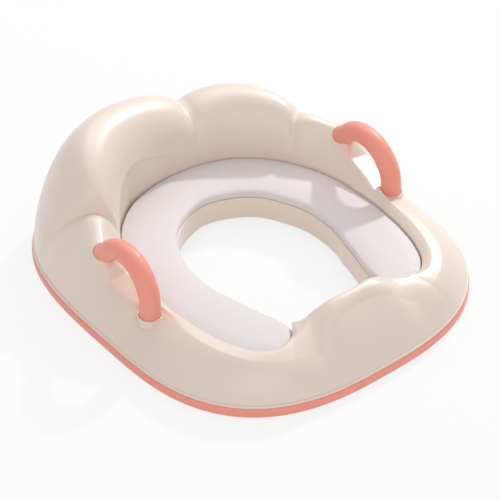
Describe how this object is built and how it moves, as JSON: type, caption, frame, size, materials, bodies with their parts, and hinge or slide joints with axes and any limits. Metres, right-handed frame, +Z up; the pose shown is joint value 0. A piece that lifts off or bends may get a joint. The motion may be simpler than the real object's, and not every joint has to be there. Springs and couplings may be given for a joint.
{
  "type": "toilet seat reducer",
  "caption": "Padded child's toilet seat reducer with a high lobed back, hooped side handles, a raised front guard and a grip band round the foot.",
  "frame": {"origin": "middle of the footprint, on the plane it rests on", "axes": "+Z up, front guard towards -Y, backrest towards +Y, +X to the side of the narrow lobe"},
  "size_m": [0.349, 0.3862, 0.12],
  "materials": {
    "shell_plastic": "satin moulded polypropylene",
    "band_rubber": "matt soft elastomer",
    "plate_plastic": "matt moulded polypropylene",
    "cushion_foam": "smooth skin of soft polyurethane foam",
    "handle_plastic": "satin moulded plastic",
    "screw_steel": "zinc plated"
  },
  "bodies": {
    "root": {"seat_shell": "shell_plastic", "grip_band": "band_rubber", "bottom_plate": "plate_plastic", "seat_cushion": "cushion_foam", "handle_left": "handle_plastic", "handle_right": "handle_plastic", "handle_screw_left": "screw_steel", "handle_screw_right": "screw_steel", "plate_screw_1": "screw_steel", "plate_screw_2": "screw_steel", "plate_screw_3": "screw_steel", "plate_screw_4": "screw_steel", "plate_screw_5": "screw_steel", "plate_screw_6": "screw_steel", "plate_screw_7": "screw_steel", "plate_screw_8": "screw_steel"}
  },
  "joints": []
}
